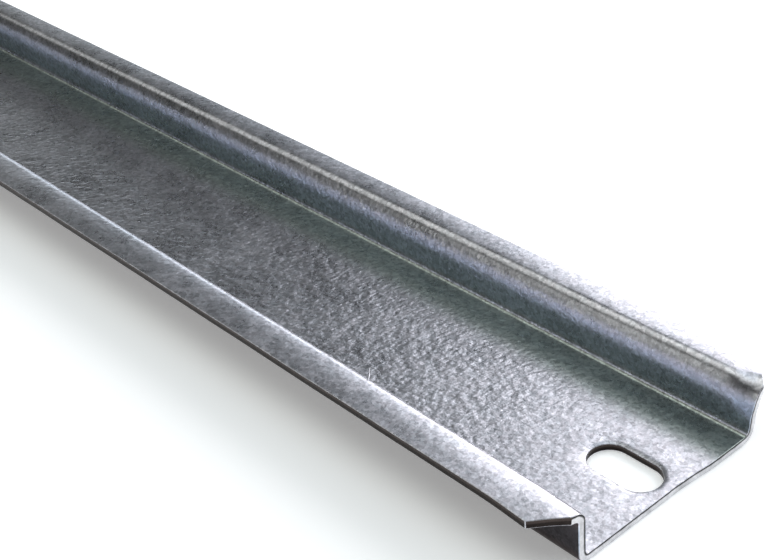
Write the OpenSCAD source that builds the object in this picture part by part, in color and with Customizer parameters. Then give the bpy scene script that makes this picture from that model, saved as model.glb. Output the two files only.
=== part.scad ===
// Top-hat mounting rail, 35 x 7.5 mm, for clip-on terminals, breakers and relays.
// One strip of zinc-coated steel, roll-formed to a hat section and sheared to length.
// Millimetres. X runs along the rail, Z up; the origin is on the underside of the
// channel's web, at the middle of the rail's length and of its full width.

/* [Rail] */
// Length of the cut piece
rail_length = 300; // [100:10:2000]
// Width over the free edges of both flanges
rail_width = 35; // [34:0.5:37]
// Height from the underside of the web to the top of the flanges
rail_height = 7.5; // [6.5:0.5:15]
// Thickness of the steel strip
strip_t = 1; // [0.8:0.1:1.5]
// Radius on the inner side of each of the four bends
bend_r = 0.8; // [0.4:0.1:1.2]

/* [Channel] */
// Width over the outer faces of the two walls
channel_width = 27; // [24:0.5:29]
// How far the channel was rolled off the middle of the strip
channel_shift = 0.4; // [0:0.1:0.6]

/* [Fixing slots] */
// Width of each slot across the rail
slot_width = 5; // [3:0.5:6.5]
// Length of each slot along the rail, over its round ends
slot_length = 9; // [7:0.5:20]
// Metal left between a slot and the sheared end
slot_margin = 2; // [1:0.1:20]

/* [Sheared ends] */
// Angle at which the corner of each flange is cut back
corner_angle = 38; // [0:1:45]

/* [Hidden] */

// radius on the outer side of each bend
bend_outer_r = bend_r + strip_t;
// from the channel's middle to where a wall is straight, and to where a flange is flat
wall_y = channel_width / 2;
flange_flat_y = wall_y + bend_r;
// from the channel's middle to the free edge of the wide flange and of the narrow one
wide_edge_y = rail_width / 2 + channel_shift;
narrow_edge_y = rail_width / 2 - channel_shift;
// from the rail's middle to the middle of each slot
slot_x = rail_length / 2 - slot_margin - slot_length / 2;
// how far every cut runs past the metal
clear = 1;

$fn = 64;

// A quarter turn of the strip about the origin, in the first quadrant.
module bend() {
    intersection() {
        difference() {
            circle(r = bend_outer_r);
            circle(r = bend_r);
        }
        square(bend_outer_r);
    }
}

// Half of the hat section, from the channel's middle to a flange whose free edge is at edge_y.
module half_section(edge_y) {
    // web
    square([wall_y - bend_outer_r, strip_t]);
    // lower bend, from the web up into the wall
    translate([wall_y - bend_outer_r, bend_outer_r])
        mirror([0, 1]) bend();
    // wall
    translate([wall_y - strip_t, bend_outer_r])
        square([strip_t, rail_height - 2 * bend_outer_r]);
    // upper bend, from the wall out into the flange
    translate([flange_flat_y, rail_height - bend_outer_r])
        mirror([1, 0]) bend();
    // flange
    translate([flange_flat_y, rail_height - strip_t])
        square([edge_y - flange_flat_y, strip_t]);
}

// The whole section, with the channel off the middle of the strip.
module hat_section() {
    translate([channel_shift, 0]) {
        half_section(narrow_edge_y);
        mirror([1, 0]) half_section(wide_edge_y);
    }
}

// A slot with round ends, along X through the web.
module slot_cut() {
    straight = slot_length - slot_width;
    translate([0, 0, -clear])
        linear_extrude(strip_t + 2 * clear) {
            square([straight, slot_width], center = true);
            for (side = [-1, 1])
                translate([side * straight / 2, 0]) circle(d = slot_width);
        }
}

// The wedge that a shear takes off a flange's corner at the +X end.
// It starts at the line where the flange becomes flat and widens to its free edge.
module corner_cut(edge_y) {
    across = edge_y + clear - flange_flat_y;
    back = across * tan(corner_angle);
    translate([rail_length / 2, flange_flat_y, rail_height - strip_t - clear])
        linear_extrude(strip_t + 2 * clear)
            polygon([[0, 0], [-back, across], [clear, across], [clear, 0]]);
}

// What is cut away at the +X end: the slot and both flange corners.
module end_cuts() {
    translate([slot_x, channel_shift, 0]) slot_cut();
    translate([0, channel_shift, 0]) {
        corner_cut(narrow_edge_y);
        mirror([0, 1, 0]) corner_cut(wide_edge_y);
    }
}

module rail() {
    color([0.70, 0.72, 0.73])
        difference() {
            rotate([90, 0, 90])
                linear_extrude(rail_length, center = true) hat_section();
            end_cuts();
            mirror([1, 0, 0]) end_cuts();
        }
}

rail();
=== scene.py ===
import math

import bmesh
import bpy
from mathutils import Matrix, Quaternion, Vector, noise


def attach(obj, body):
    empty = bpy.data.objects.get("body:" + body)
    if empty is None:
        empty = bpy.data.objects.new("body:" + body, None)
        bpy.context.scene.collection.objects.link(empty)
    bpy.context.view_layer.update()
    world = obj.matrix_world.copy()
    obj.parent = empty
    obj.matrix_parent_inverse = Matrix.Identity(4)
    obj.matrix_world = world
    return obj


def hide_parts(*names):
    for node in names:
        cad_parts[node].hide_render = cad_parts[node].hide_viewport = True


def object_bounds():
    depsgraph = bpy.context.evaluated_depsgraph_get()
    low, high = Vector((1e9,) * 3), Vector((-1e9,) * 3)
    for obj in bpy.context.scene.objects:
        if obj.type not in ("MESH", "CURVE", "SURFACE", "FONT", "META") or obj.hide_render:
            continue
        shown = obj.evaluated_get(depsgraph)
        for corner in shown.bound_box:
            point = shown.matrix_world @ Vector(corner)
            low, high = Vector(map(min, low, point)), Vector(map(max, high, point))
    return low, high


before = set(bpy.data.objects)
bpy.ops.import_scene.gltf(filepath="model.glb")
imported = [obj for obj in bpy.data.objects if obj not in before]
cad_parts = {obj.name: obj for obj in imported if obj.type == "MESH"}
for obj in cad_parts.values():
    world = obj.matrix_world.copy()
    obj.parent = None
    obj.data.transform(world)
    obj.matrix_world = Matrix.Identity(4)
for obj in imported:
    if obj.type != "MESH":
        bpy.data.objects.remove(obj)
cad_low, cad_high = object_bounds()

# ------------------------------------------------------------------ the flat blank
# The rail starts as a flat strip of zinc-coated steel, 1 mm thick. A press punches one
# round-ended slot near each end, and a shear cuts the ends, taking the corners of both
# flanges off at an angle.
MM = 0.001
rail_length = cad_high.x - cad_low.x
rail_height = cad_high.z - cad_low.z
half_width = (cad_high.y - cad_low.y) / 2
strip = 1.0 * MM
wall_face = 13.5 * MM
channel_shift = 0.4 * MM

# The section is followed from the middle of the channel out to a flange's free edge: web, lower
# bend, wall, its top that leans outwards, upper bend, and a flange that stays a little crowned.
# side 1 is the narrow flange's side, and side -1 is the wide one's.
lower_bend_inner = 0.5 * MM
upper_bend_inner = 0.8 * MM
bend_middle = lower_bend_inner + strip / 2
bend_run = bend_middle * math.pi / 2
web_end = wall_face - lower_bend_inner - strip
wall_start = web_end + bend_run
flange_width = {side: half_width - side * channel_shift - wall_face for side in (1, -1)}
lean_radius = {1: 4.0 * MM, -1: 1.2 * MM}
lean_slope = {1: math.radians(56), -1: math.radians(75)}
upper_radius = {1: 0.95 * MM, -1: 1.15 * MM}
crown_start = {1: math.radians(5), -1: math.radians(9)}
crown_end = {1: math.radians(-2.2), -1: math.radians(0.2)}
crown_length = {1: 2.2 * MM, -1: 2.4 * MM}
corner_slope = math.tan(math.radians(38))
level_enough = 1e-6


def turned(length, start, stop):
    """How far a stretch of strip runs across and up as its slope turns from start to stop."""
    if abs(stop - start) < level_enough:
        return length * math.cos(start), length * math.sin(start)
    r = length / (stop - start)
    return r * (math.sin(stop) - math.sin(start)), r * (math.cos(start) - math.cos(stop))


def section_stretches(side):
    """The strip's stretches on one side of the channel: length, slope at its start and end."""
    upright = math.pi / 2
    slope, top = lean_slope[side], crown_start[side]
    leaning = (lean_radius[side] * (upright - slope), upright, slope)
    upper_bend = (upper_radius[side] * (slope - top), slope, top)
    crown = (crown_length[side], top, crown_end[side])
    bend_across, bend_up = (a + b for a, b in zip(turned(*leaning), turned(*upper_bend)))
    crown_across, crown_up = turned(*crown)
    lean = strip / 2 * abs(math.sin(crown_end[side]))
    left = flange_width[side] + strip / 2 - bend_across - crown_across - lean
    flange = (left / math.cos(crown_end[side]), crown_end[side], crown_end[side])
    flange_up = turned(*flange)[1]
    rise = max(bend_up, bend_up + crown_up, bend_up + crown_up + flange_up)
    if crown_end[side] < 0:
        to_top = crown_length[side] * top / (top - crown_end[side])
        rise = bend_up + turned(to_top, top, 0)[1]
    wall = (rail_height - strip - bend_middle - rise, upright, upright)
    return [(web_end, 0, 0), (bend_run, 0, upright), wall, leaning, upper_bend, crown, flange]


stretches = {side: section_stretches(side) for side in (1, -1)}
stretch_ends = {}
for side in (1, -1):
    lengths = [length for length, start, stop in stretches[side]]
    stretch_ends[side] = [sum(lengths[:i + 1]) for i in range(len(lengths))]


def section_at(side, s, depth=0.0):
    """A point of the rolled section: s along the strip, depth down from its upper face."""
    y, z, slope = 0.0, strip / 2, 0.0
    for length, start, stop in stretches[side]:
        part = min(length, s)
        slope = start + (stop - start) * part / length
        across, up = turned(part, start, slope)
        y, z, s = y + across, z + up, s - part
        if s <= 0:
            break
    out = strip / 2 - depth
    return y - out * math.sin(slope), z + out * math.cos(slope)


def even_steps(start, stop, count):
    """That many equal steps from start to stop, with the start left out."""
    return [start + (stop - start) * (i + 1) / count for i in range(count)]


# rows run the length of the strip, close together where the rollers bend it, and leave a
# flat pad round each slot
slot_pad = 4.4 * MM
rows = {}
for side in (-1, 1):
    web, lower_bend, wall, leaning, upper_bend, crown, edge = stretch_ends[side]
    rows[side] = [slot_pad] + even_steps(slot_pad, web, 4) + even_steps(web, lower_bend, 10)
    rows[side] += even_steps(lower_bend, wall, 3) + even_steps(wall, leaning, 7)
    rows[side] += even_steps(leaning, upper_bend, 8)
    rows[side] += even_steps(upper_bend, crown, 5) + even_steps(crown, edge, 3)
row_places = [-s for s in reversed(rows[-1])] + [-1.5 * MM, 1.5 * MM] + rows[1]

# columns cross the strip, close together at the near end, where the shear bent it
pad_inner_end = rail_length / 2 - 12.5 * MM
hair = MM / 100
near_end = [12.5, 11, 9.5, 8, 6.7, 5.5, 4.5, 3.6, 2.8, 2.1, 1.5, 1.0, 0.6, 0.25, 0]
plain_columns = even_steps(-pad_inner_end, pad_inner_end, 92)
column_places = [-rail_length / 2 + d * MM for d in reversed(near_end)]
column_places += plain_columns + [rail_length / 2 - d * MM for d in near_end[1:]]


def column_at(place, across):
    """Where a column lies at that row: those near the ends lean with the corner cuts."""
    past_pad = abs(place) - pad_inner_end
    if past_pad <= 0:
        return place
    reach = section_at(1 if across > 0 else -1, abs(across))[0]
    taken_off = max(0, reach - wall_face - upper_bend_inner) * corner_slope
    left = (rail_length / 2 - pad_inner_end - taken_off) / (rail_length / 2 - pad_inner_end)
    return math.copysign(pad_inner_end + past_pad * left, place)


blank = bmesh.new()
depth_mark = blank.verts.layers.float.new("depth_in_strip")
net = [[blank.verts.new((column_at(x, y), y, 0)) for y in row_places] for x in column_places]


def on_pad(first, second):
    """Whether the mesh cell between two columns and two rows lies where a slot is punched."""
    along = (column_places[first] + column_places[first + 1]) / 2
    across = (row_places[second] + row_places[second + 1]) / 2
    return abs(along) > pad_inner_end and abs(across) < slot_pad


for i in range(len(column_places) - 1):
    for j in range(len(row_places) - 1):
        if not on_pad(i, j):
            blank.faces.new((net[i][j], net[i + 1][j], net[i + 1][j + 1], net[i][j + 1]))


def slot_outline(end, grow, length=9 * MM, width=5 * MM, margin=2 * MM, steps=28):
    """Points round the slot near one end, grown outwards by that much."""
    middle = end * (rail_length / 2 - margin - length / 2)
    straight = (length - width) / 2
    reach = width / 2 + grow
    points = []
    for tip in (1, -1):
        for i in range(steps + 1):
            turn = math.pi * (i / steps - 0.5) + (0 if tip > 0 else math.pi)
            points.append((middle + tip * straight + reach * math.cos(turn), reach * math.sin(turn)))
    return points


# the punch draws the slot's upper edge down a little as it goes through
drawn_in = [(0.62, 0.0), (0.46, 0.012), (0.30, 0.036), (0.15, 0.07), (0.0, 0.11)]
for end in (1, -1):
    rings = []
    for grow, drop in drawn_in:
        outline = slot_outline(end, grow * MM)
        rings.append([blank.verts.new((x, y, -drop * MM)) for x, y in outline])
    for outer, inner in zip(rings, rings[1:]):
        for k in range(len(outer)):
            after = (k + 1) % len(outer)
            blank.faces.new((outer[k], outer[after], inner[after], inner[k]))
    outer_ring = rings[0]
    border = [blank.edges.get((a, b)) for a, b in zip(outer_ring, outer_ring[1:] + outer_ring[:1])]
    pad_columns = [column for x, column in zip(column_places, net) if end * x > pad_inner_end - hair]
    low_row = min(j for j, y in enumerate(row_places) if y > -slot_pad - hair)
    high_row = max(j for j, y in enumerate(row_places) if y < slot_pad + hair)
    fence = [column[low_row] for column in pad_columns]
    fence += [pad_columns[-1][j] for j in range(low_row + 1, high_row)]
    fence += [column[high_row] for column in reversed(pad_columns)]
    fence += [pad_columns[0][j] for j in range(high_row - 1, low_row, -1)]
    for a, b in zip(fence, fence[1:] + fence[:1]):
        border.append(blank.edges.get((a, b)) or blank.edges.new((a, b)))
    bmesh.ops.triangle_fill(blank, use_beauty=True, use_dissolve=False, edges=border)
bmesh.ops.delete(blank, geom=[v for v in blank.verts if not v.link_faces], context="VERTS")
bmesh.ops.recalc_face_normals(blank, faces=blank.faces[:])

# the strip's thickness: the lower face and the cut rims are drawn from the upper face
zinc_face = 0
under_face = 1
slit_face = 2
sheared_face = 3
upper = blank.faces[:]
rim_edges = [e for e in blank.edges if len(e.link_faces) == 1]
lower = bmesh.ops.duplicate(blank, geom=blank.verts[:] + blank.edges[:] + blank.faces[:])
twin = {a: b for a, b in lower["vert_map"].items() if isinstance(a, bmesh.types.BMVert)}
for vert in {twin[v] for face in upper for v in face.verts}:
    vert.co.z = -strip
    vert[depth_mark] = 1
for face in blank.faces:
    if all(v.co.z < -strip / 2 for v in face.verts):
        face.material_index = under_face
for edge in rim_edges:
    a, b = edge.verts
    rim = blank.faces.new((a, b, twin[b], twin[a]))
    at_end = max(abs(a.co.x), abs(b.co.x)) > rail_length / 2 - hair
    rim.material_index = sheared_face if at_end and a.co.x * b.co.x > 0 else slit_face
bmesh.ops.recalc_face_normals(blank, faces=blank.faces[:])

# ------------------------------------------------------------------ the rolled section
# Rollers bend the strip to a hat: up at both sides of the web, then out into the flanges.
# Each bend keeps the strip's thickness. The blunt shear bent the end that it left at +X.


def ease(value, start, stop):
    """0 before start, 1 past stop, eased between."""
    t = min(1, max(0, (value - start) / (stop - start)))
    return t * t * (3 - 2 * t)


def roll(along, across, depth):
    """Where a point of the flat strip goes when it's rolled; depth is down from the upper face."""
    side = 1 if across >= 0 else -1
    y, z = section_at(side, abs(across), depth)
    return Vector((along, channel_shift + side * y, z))


def shear_dent(along, across):
    """How far the shear moved a point near the +X end from where the rollers left it."""
    s = abs(across)
    wall_end, flange_start = stretch_ends[1 if across > 0 else -1][2:5:2]
    reach = section_at(1 if across > 0 else -1, s)[0]
    back = rail_length / 2 - max(0, reach - wall_face - upper_bend_inner) * corner_slope - along
    # the far side of the cut reaches furthest, and the web lags behind it
    lag = 0.7 * MM
    if across > 0:
        lag -= 0.4 * MM * ease(s, 2 * MM, 7.5 * MM) + 0.3 * MM * ease(s, 12 * MM, 15 * MM)
    shift = Vector((-lag * max(0, 1 - back / (1.4 * MM)), 0, 0))
    # both flanges were pressed down, the far one at its bend and the near one over all its width
    upper = ease(s, wall_end - 1.2 * MM, wall_end + 1.2 * MM)
    if across > 0:
        press = upper * (1 - 0.65 * ease(s, flange_start - 0.6 * MM, flange_start + MM))
        press *= 1 - ease(back, 0, 4 * MM)
        out = 0.3 * MM * (1 - ease(reach, wall_face, wall_face + 2.4 * MM))
        shift += Vector((0, out * press, -0.8 * MM * press))
    else:
        shift.z -= 0.3 * MM * upper * (1 - ease(back, 0, 6 * MM))
    return shift


def roll_wave(along, across):
    """The slight waves that the rollers leave along the walls and flanges."""
    s = abs(across)
    side = 1 if across >= 0 else -1
    wave = noise.noise(Vector((along / (19 * MM), 3.7 * side, 0.5)))
    flutter = noise.noise(Vector((along / (7 * MM), 9.1 * side, 2.5)))
    wall_end, flange_start = stretch_ends[side][2:5:2]
    loose = ease(s, wall_end, flange_start + 2 * MM)
    wall = ease(s, wall_start - MM, wall_start + 2 * MM) * (1 - loose)
    sag = (abs(wave) * 0.09 + abs(flutter) * 0.03) * MM
    return Vector((0, -side * 0.05 * MM * wave * wall, -sag * loose))


for vert in blank.verts:
    along, across, depth = vert.co.x, vert.co.y, -vert.co.z
    vert.co = roll(along, across, depth) + shear_dent(along, across) + roll_wave(along, across)

rail_mesh = bpy.data.meshes.new("rail_strip")
blank.to_mesh(rail_mesh)
blank.free()
rail = bpy.data.objects.new("rail_strip", rail_mesh)
bpy.context.scene.collection.objects.link(rail)
for face in rail_mesh.polygons:
    face.use_smooth = True

soften = rail.modifiers.new("sheared_edges", "BEVEL")
soften.width = 0.08 * MM
soften.segments = 2
soften.limit_method = "ANGLE"
soften.angle_limit = math.radians(40)
soften.harden_normals = True
soften.material = zinc_face

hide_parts("rail")
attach(rail, "root")

# ------------------------------------------------------------------ the zinc
# Hot-dip zinc, rolled with the strip. It froze in fine crystals that catch the light each in
# its own way, over a soft mottle. The rollers drew faint streaks along it, and the bath blued
# the channel's walls. The colour also carries a painted highlight along the upper walls, and a
# painted reflection of the wall, darker and olive, on the web beside the narrow side's lower bend.


class Finish:
    """A metal finish and the nodes that make it, in millimetres on the rail."""

    def __init__(self, name):
        self.material = bpy.data.materials.new(name)
        self.material.use_nodes = True
        self.nodes = self.material.node_tree.nodes
        self.links = self.material.node_tree.links
        self.shader = self.nodes["Principled BSDF"]
        self.place = self.nodes.new("ShaderNodeTexCoord").outputs["Object"]

    def add(self, kind, settings=None, **inputs):
        """One node, with its settings, and its inputs fed by numbers or other nodes."""
        node = self.nodes.new(kind)
        for key, value in (settings or {}).items():
            setattr(node, key, value)
        for key, value in inputs.items():
            self.feed(node.inputs[key.replace("_", " ")], value)
        return node

    def feed(self, socket, value):
        if isinstance(value, bpy.types.NodeSocket):
            self.links.new(value, socket)
        else:
            socket.default_value = value

    def scaled(self, x, y, z):
        """The place on the rail, in steps of that many millimetres along each axis."""
        scale = (1 / (x * MM), 1 / (y * MM), 1 / (z * MM))
        return self.add("ShaderNodeMapping", Vector=self.place, Scale=scale).outputs[0]

    def blotches(self, size, detail=2.0, stretch=1.0):
        """Cloudy noise from 0 to 1, of patches about that many millimetres across."""
        vector = self.scaled(size * stretch, size, size)
        noise_node = self.add("ShaderNodeTexNoise", Vector=vector, Scale=1.0, Detail=detail)
        return noise_node.outputs["Fac"]

    def crystals(self, size, wander=0.0):
        """A cell pattern of crystals about that many millimetres across."""
        vector = self.scaled(size, size, size)
        if wander:
            bend = self.add("ShaderNodeTexNoise", Vector=vector, Scale=0.7, Detail=1.0)
            shove = self.add("ShaderNodeVectorMath", {"operation": "SCALE"}, Scale=wander)
            self.links.new(bend.outputs["Color"], shove.inputs[0])
            moved = self.add("ShaderNodeVectorMath", {"operation": "ADD"})
            self.links.new(vector, moved.inputs[0])
            self.links.new(shove.outputs[0], moved.inputs[1])
            vector = moved.outputs[0]
        return self.add("ShaderNodeTexVoronoi", Vector=vector, Scale=1.0)

    def sum(self, *terms):
        """A number plus each value times its weight."""
        total = terms[0]
        for value, weight in terms[1:]:
            node = self.add("ShaderNodeMath", {"operation": "MULTIPLY_ADD"})
            self.feed(node.inputs[0], value)
            node.inputs[1].default_value = weight
            self.feed(node.inputs[2], total)
            total = node.outputs[0]
        return total

    def product(self, first, second):
        node = self.add("ShaderNodeMath", {"operation": "MULTIPLY"})
        self.feed(node.inputs[0], first)
        self.feed(node.inputs[1], second)
        return node.outputs[0]

    def band(self, value, start, stop):
        """0 before start, 1 past stop, eased between."""
        node = self.add("ShaderNodeMapRange", {"interpolation_type": "SMOOTHSTEP"}, Value=value)
        node.inputs["From Min"].default_value = start
        node.inputs["From Max"].default_value = stop
        return node.outputs["Result"]

    def tint(self, level, low, high):
        """A colour between two, by a level from 0 to 1."""
        node = self.add("ShaderNodeMix", {"data_type": "RGBA", "clamp_factor": True})
        self.feed(node.inputs["Factor"], level)
        node.inputs[6].default_value = (*low, 1)
        node.inputs[7].default_value = (*high, 1)
        return node.outputs[2]

    def tinged(self, colour, amount, tinge):
        """A colour multiplied by a tinge, by an amount from 0 to 1; used for tints and for painted
        shade and reflection.
        """
        node = self.add("ShaderNodeMix", {"data_type": "RGBA", "blend_type": "MULTIPLY"})
        self.feed(node.inputs["Factor"], amount)
        self.feed(node.inputs[6], colour)
        node.inputs[7].default_value = (*tinge, 1)
        return node.outputs[2]

    def shade(self, colour, level):
        """A colour times a level."""
        node = self.add("ShaderNodeVectorMath", {"operation": "SCALE"})
        self.feed(node.inputs[0], colour)
        self.feed(node.inputs["Scale"], level)
        return node.outputs[0]


def zinc_finish(name, brightness, dullness, cast):
    """Zinc in fine crystals over a mottle, with low ripples where it ran as it froze."""
    zinc = Finish(name)
    grain = zinc.crystals(0.42, wander=0.8)
    each_grain = zinc.add("ShaderNodeSeparateColor", Color=grain.outputs["Color"])
    light_grain, warm_grain, dull_grain = each_grain.outputs[:3]
    mottle = zinc.blotches(1.6, detail=3.0)
    cloud = zinc.blotches(9.0, detail=2.0)
    streak = zinc.blotches(0.35, detail=2.0, stretch=60.0)
    speck = zinc.blotches(0.24, detail=1.0)
    lie = (0, 0, math.radians(-58))
    ripple_size = (1 / (0.95 * MM), 1 / (0.56 * MM), 1 / (0.6 * MM))
    aslant = zinc.add("ShaderNodeMapping", Vector=zinc.place, Rotation=lie).outputs[0]
    run = zinc.add("ShaderNodeMapping", Vector=aslant, Scale=ripple_size).outputs[0]
    ripple = zinc.add("ShaderNodeTexNoise", Vector=run, Scale=1.0, Detail=1.5).outputs["Fac"]
    swell = zinc.blotches(3.2, detail=1.0)

    # where on the rail: flanges pressed smooth, ends held flat in the press, walls with a painted
    # highlight up high, and a painted reflection on the web beside the narrow side's lower bend
    spot = zinc.add("ShaderNodeSeparateXYZ", Vector=zinc.place)
    up = spot.outputs["Z"]
    along = zinc.add("ShaderNodeMath", {"operation": "ABSOLUTE"})
    zinc.feed(along.inputs[0], spot.outputs["X"])
    pressed_flange = zinc.band(up, 5.5 * MM, 6.8 * MM)
    held_end = zinc.band(along.outputs[0], rail_length / 2 - 32 * MM, rail_length / 2 - 8 * MM)
    painted_highlight_upper_walls = zinc.band(up, 4.0 * MM, 5.2 * MM)
    fold = zinc.band(up, 5.8 * MM, 6.4 * MM)
    painted_reflection_by_lower_bend = zinc.band(spot.outputs["Y"], 6.0 * MM, 9.5 * MM)
    painted_reflection_by_lower_bend = zinc.product(painted_reflection_by_lower_bend, zinc.band(up, 1.30 * MM, 1.05 * MM))
    blued = zinc.product(zinc.band(up, 1.2 * MM, 2.2 * MM), zinc.band(up, 6.0 * MM, 4.2 * MM))

    # its brightness and colour, then its gloss and its relief
    level = zinc.sum(0.21, (light_grain, 0.36), (speck, 0.44), (mottle, 0.08), (cloud, 0.10))
    # painted highlight: the upper walls are brightened, and the fold term ends it at the upper bend
    level = zinc.sum(level, (streak, 0.06), (painted_highlight_upper_walls, 0.38), (fold, -0.36))
    level = zinc.sum(0.0, (level, brightness))
    blend = zinc.sum(0.0, (warm_grain, 0.5), (mottle, 0.5))
    tone = zinc.tint(blend, (0.605, 0.620, 0.67), (0.675, 0.645, 0.695))
    tone = zinc.tinged(tone, 1.0, cast)
    # painted reflection of the wall: the web beside the narrow side's lower bend is tinged darker and
    # olive
    tone = zinc.tinged(tone, painted_reflection_by_lower_bend, (0.62, 0.70, 0.61))
    tone = zinc.tinged(tone, blued, (0.84, 0.97, 1.07))
    zinc.links.new(zinc.shade(tone, level), zinc.shader.inputs["Base Color"])
    zinc.shader.inputs["Metallic"].default_value = 1
    roughness = zinc.sum(0.14 + dullness, (dull_grain, 0.04), (mottle, 0.12), (cloud, 0.16))
    zinc.links.new(roughness, zinc.shader.inputs["Roughness"])
    height = zinc.sum(0.0, (ripple, 1.0), (speck, 0.12), (mottle, 0.3), (swell, 0.6))
    relief = zinc.sum(1.0, (pressed_flange, -0.62), (held_end, -0.60), (painted_reflection_by_lower_bend, -0.5))
    strength = zinc.add("ShaderNodeMath", {"operation": "MAXIMUM"}, Value=relief)
    strength.inputs[1].default_value = 0.28
    dimple = zinc.add("ShaderNodeBump", Height=height, Distance=0.10 * MM)
    zinc.links.new(strength.outputs[0], dimple.inputs["Strength"])
    zinc.links.new(dimple.outputs[0], zinc.shader.inputs["Normal"])
    return zinc.material


def cut_finish(name, dark, bright, bands):
    """Steel torn by a cutting edge; bands give its brightness from the upper face down."""
    cut = Finish(name)
    tear = cut.blotches(0.18, detail=2.0)
    patch = cut.blotches(1.4, detail=2.0)
    depth = cut.add("ShaderNodeAttribute", {"attribute_name": "depth_in_strip"}).outputs["Fac"]
    uneven_depth = cut.sum(-0.1, (depth, 1.0), (patch, 0.2))
    brightness = bands[0][1]
    for (before, low), (after, high) in zip(bands, bands[1:]):
        brightness = cut.sum(brightness, (cut.band(uneven_depth, before, after), high - low))
    level = cut.product(brightness, cut.sum(0.5, (tear, 0.5), (patch, 0.4)))
    colour = cut.shade(cut.tint(patch, dark, bright), level)
    cut.links.new(colour, cut.shader.inputs["Base Color"])
    cut.shader.inputs["Metallic"].default_value = 1
    cut.links.new(cut.sum(0.30, (tear, 0.25)), cut.shader.inputs["Roughness"])
    relief = cut.add("ShaderNodeBump", Height=tear, Strength=0.5, Distance=0.05 * MM)
    cut.links.new(relief.outputs[0], cut.shader.inputs["Normal"])
    return cut.material


# The underside carries painted shade: it is darker and browner than the coat, and rougher. The slit and
# punched edges are bare steel that has browned, and the shear smeared zinc over the ends that it cut.
coat = zinc_finish("zinc_coat", 1.0, 0.0, (1.0, 1.0, 1.0))
# painted shade: the strip's lower face at 0.14 of the coat's brightness, tinged brown
underside_painted_shade = zinc_finish("zinc_underside_painted_shade", 0.14, 0.12, (1.0, 0.80, 0.76))
slit_bands = [(0.0, 0.3), (0.12, 0.9), (0.35, 0.8), (0.52, 0.3), (1.0, 0.3)]
browned = cut_finish("browned_cut_steel", (0.055, 0.042, 0.040), (0.11, 0.088, 0.08), slit_bands)
shear_bands = [(0.20, 0.04), (0.40, 1.0), (1.0, 1.0)]
smeared = cut_finish("zinc_smeared_shear_cut", (0.42, 0.42, 0.44), (0.95, 0.94, 0.96), shear_bands)
for finish in (coat, underside_painted_shade, browned, smeared):
    rail_mesh.materials.append(finish)

# ------------------------------------------------------------------ torn slivers
# Where the strip was slit and bent, a few thin slivers of its zinc were torn up: one hangs over
# the channel from the wide flange's bend, one lies on that flange, one stands off the far wall.
# each is a thickness and points from its root to its tip: back from the end, across, up
off_the_bend = [(31.1, -13.3, 7.0), (31.4, -12.8, 7.2), (31.8, -12.3, 7.32), (32.3, -11.9, 7.4)]
off_the_bend.append((32.6, -11.5, 7.44))
on_the_flange = [(65.3, -15.2, 7.3), (65.2, -14.7, 7.42), (65.1, -14.0, 7.42), (64.9, -13.3, 7.36)]
on_the_flange.append((64.8, -12.9, 7.2))
off_the_wall = [(6.0, 13.1, 4.2), (6.2, 12.85, 3.9), (6.4, 12.75, 3.5), (6.3, 12.8, 3.1)]
off_the_wall.append((6.1, 13.0, 2.8))
tip_taper = 0.8
slivers = bmesh.new()
for thickness, run in ((0.36, off_the_bend), (0.30, on_the_flange), (0.26, off_the_wall)):
    spine = [Vector((rail_length / 2 - back * MM, y * MM, z * MM)) for back, y, z in run]
    loops = []
    for i, point in enumerate(spine):
        ahead = (spine[min(i + 1, len(spine) - 1)] - spine[max(i - 1, 0)]).normalized()
        across = ahead.cross(Vector((0, 0, 1))).normalized()
        up = across.cross(ahead)
        half = thickness * MM / 2 * (1 - tip_taper * i / (len(spine) - 1))
        corners = [across * half, up * half * 0.5, -across * half, -up * half * 0.5]
        loops.append([slivers.verts.new(point + corner) for corner in corners])
    for first, second in zip(loops, loops[1:]):
        for k in range(4):
            slivers.faces.new((first[k], first[(k + 1) % 4], second[(k + 1) % 4], second[k]))
    slivers.faces.new(list(reversed(loops[0])))
    slivers.faces.new(loops[-1])
bmesh.ops.recalc_face_normals(slivers, faces=slivers.faces[:])
sliver_mesh = bpy.data.meshes.new("torn_slivers")
slivers.to_mesh(sliver_mesh)
slivers.free()
sliver_mesh.materials.append(coat)
torn = bpy.data.objects.new("torn_slivers", sliver_mesh)
bpy.context.scene.collection.objects.link(torn)
rounding = torn.modifiers.new("rounding", "SUBSURF")
rounding.levels = rounding.render_levels = 2
for face in sliver_mesh.polygons:
    face.use_smooth = True
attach(torn, "root")

# ------------------------------------------------------------------ studio
# A wide pale paper on a table. The room over it is dark, with a bright window past the narrow
# flange, a soft light overhead, and two weak lights on the wide flange's side.
floor_reach = 8
floor_corners = [(x * floor_reach, y * floor_reach, 0) for x, y in ((-1, -1), (1, -1), (1, 1), (-1, 1))]
floor_mesh = bpy.data.meshes.new("floor")
floor_mesh.from_pydata(floor_corners, [], [(0, 1, 2, 3)])
floor = bpy.data.objects.new("floor", floor_mesh)
bpy.context.scene.collection.objects.link(floor)
paper = bpy.data.materials.new("floor_paper")
paper.use_nodes = True
paper_nodes, paper_links = paper.node_tree.nodes, paper.node_tree.links
sheet = paper_nodes["Principled BSDF"]
sheet.inputs["Base Color"].default_value = (0.93, 0.93, 0.93, 1)
sheet.inputs["Roughness"].default_value = 0.9
sheet.inputs["Specular IOR Level"].default_value = 0.1
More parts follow.
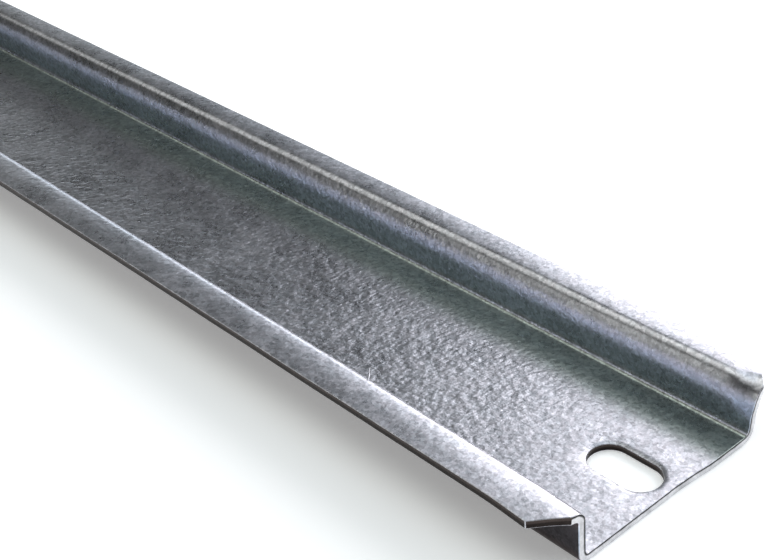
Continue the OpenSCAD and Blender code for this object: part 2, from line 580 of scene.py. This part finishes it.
# the paper looks a little brighter, to the camera and in the metal, but lights nothing
seen = paper_nodes.new("ShaderNodeLightPath")
mirrored = paper_nodes.new("ShaderNodeMath")
mirrored.operation = "ADD"
paper_links.new(seen.outputs["Is Camera Ray"], mirrored.inputs[0])
paper_links.new(seen.outputs["Is Glossy Ray"], mirrored.inputs[1])
direct = paper_nodes.new("ShaderNodeMath")
direct.operation = "ADD"
direct.use_clamp = True
paper_links.new(mirrored.outputs[0], direct.inputs[0])
paper_links.new(seen.outputs["Is Transmission Ray"], direct.inputs[1])
lift = paper_nodes.new("ShaderNodeMath")
lift.operation = "MULTIPLY"
lift.inputs[1].default_value = 0.3
paper_links.new(direct.outputs[0], lift.inputs[0])
sheet.inputs["Emission Color"].default_value = (1, 1, 1, 1)
paper_links.new(lift.outputs[0], sheet.inputs["Emission Strength"])
floor_mesh.materials.append(paper)

room = bpy.data.worlds.new("room")
bpy.context.scene.world = room
room.use_nodes = True
nodes, links = room.node_tree.nodes, room.node_tree.links
backdrop = nodes["Background"]
direction = nodes.new("ShaderNodeTexCoord")


def room_math(operation, *values):
    """One math node of the room's light, fed by numbers or other nodes' outputs."""
    node = nodes.new("ShaderNodeMath")
    node.operation = operation
    for socket, value in zip(node.inputs, values):
        if isinstance(value, (int, float)):
            socket.default_value = value
        else:
            links.new(value, socket)
    return node.outputs[0]


def ramp(value, start, stop):
    """0 at start, 1 at stop, eased between."""
    node = nodes.new("ShaderNodeMapRange")
    node.interpolation_type = "SMOOTHSTEP"
    node.inputs["From Min"].default_value = start
    node.inputs["From Max"].default_value = stop
    links.new(value, node.inputs["Value"])
    return node.outputs["Result"]


def all_of(first, *others):
    """The product of several masks."""
    for other in others:
        first = room_math("MULTIPLY", first, other)
    return first


def towards(azimuth, elevation=0):
    """How far a view direction leans to that compass angle, 1 straight at it."""
    a, e = math.radians(azimuth), math.radians(elevation)
    node = nodes.new("ShaderNodeVectorMath")
    node.operation = "DOT_PRODUCT"
    node.inputs[1].default_value = (math.cos(a) * math.cos(e), math.sin(a) * math.cos(e), math.sin(e))
    links.new(direction.outputs["Generated"], node.inputs[0])
    return node.outputs["Value"]


# the window's left side is upright, and low down a pale wall takes its light on round to the left
height = towards(90, 90)
bearing = room_math("ARCTAN2", towards(0), towards(90))
past_left = room_math("SUBTRACT", math.radians(-42), bearing)
from_left = ramp(past_left, math.radians(12), math.radians(-12))
from_right = ramp(bearing, math.radians(100), math.radians(0))
window = all_of(from_left, from_right, ramp(height, 0.90, 0.62))
overhead = ramp(height, 0.80, 0.95)
beside_window = all_of(ramp(bearing, math.radians(-95), math.radians(-48)), from_right)
low_wall = all_of(beside_window, room_math("SUBTRACT", 1.0, from_left), ramp(height, 0.32, 0.22))
round_window = all_of(ramp(bearing, math.radians(-84), math.radians(-40)), from_right)
glow = all_of(round_window, ramp(height, 0.95, 0.5))
fill = ramp(towards(198, 50), 0.906, 0.970)
low_fill = ramp(towards(241, 20), 0.955, 0.992)
room_light = room_math("MULTIPLY", window, 3.5)
dimmer_lights = [(overhead, 1.5), (low_wall, 1.9), (glow, 0.05), (fill, 1.0), (low_fill, 0.9)]
for light, strength in dimmer_lights:
    room_light = room_math("ADD", room_light, room_math("MULTIPLY", light, strength))
dark_room = 0.05
room_light = room_math("ADD", room_light, dark_room)
links.new(room_light, backdrop.inputs["Strength"])
# the window's light is neutral; the room's is bluer, and yellower from the wide flange's side
near_side = nodes.new("ShaderNodeMix")
near_side.data_type = "RGBA"
links.new(ramp(towards(225, 25), 0.1, 0.7), near_side.inputs["Factor"])
near_side.inputs[6].default_value = (0.80, 0.91, 1.0, 1)
near_side.inputs[7].default_value = (0.97, 1.0, 0.94, 1)
cast = nodes.new("ShaderNodeMix")
cast.data_type = "RGBA"
links.new(window, cast.inputs["Factor"])
links.new(near_side.outputs[2], cast.inputs[6])
cast.inputs[7].default_value = (1.0, 0.98, 1.0, 1)
links.new(cast.outputs[2], backdrop.inputs["Color"])

# ------------------------------------------------------------------ camera
# It stands close to the rail's +X end, on the wide flange's side, and looks down its length.
camera_data = bpy.data.cameras.new("camera")
camera_data.sensor_width = 36
camera_data.lens = 65.8
camera_data.shift_x = -0.0534
camera_data.shift_y = 0.0151
camera_data.clip_start = 0.01
camera_data.clip_end = 50
camera = bpy.data.objects.new("camera", camera_data)
camera.location = (rail_length / 2 + 66.35 * MM, channel_shift - 87.5 * MM, 97.0 * MM)
heading, dip, roll_angle = (math.radians(a) for a in (139.58, -32.86, -4.35))
aim = Vector((math.cos(dip) * math.cos(heading), math.cos(dip) * math.sin(heading), math.sin(dip)))
camera.rotation_mode = "QUATERNION"
camera.rotation_quaternion = aim.to_track_quat("-Z", "Y") @ Quaternion((0, 0, 1), roll_angle)
bpy.context.scene.collection.objects.link(camera)
bpy.context.scene.camera = camera

bpy.context.scene.view_settings.view_transform = "Standard"
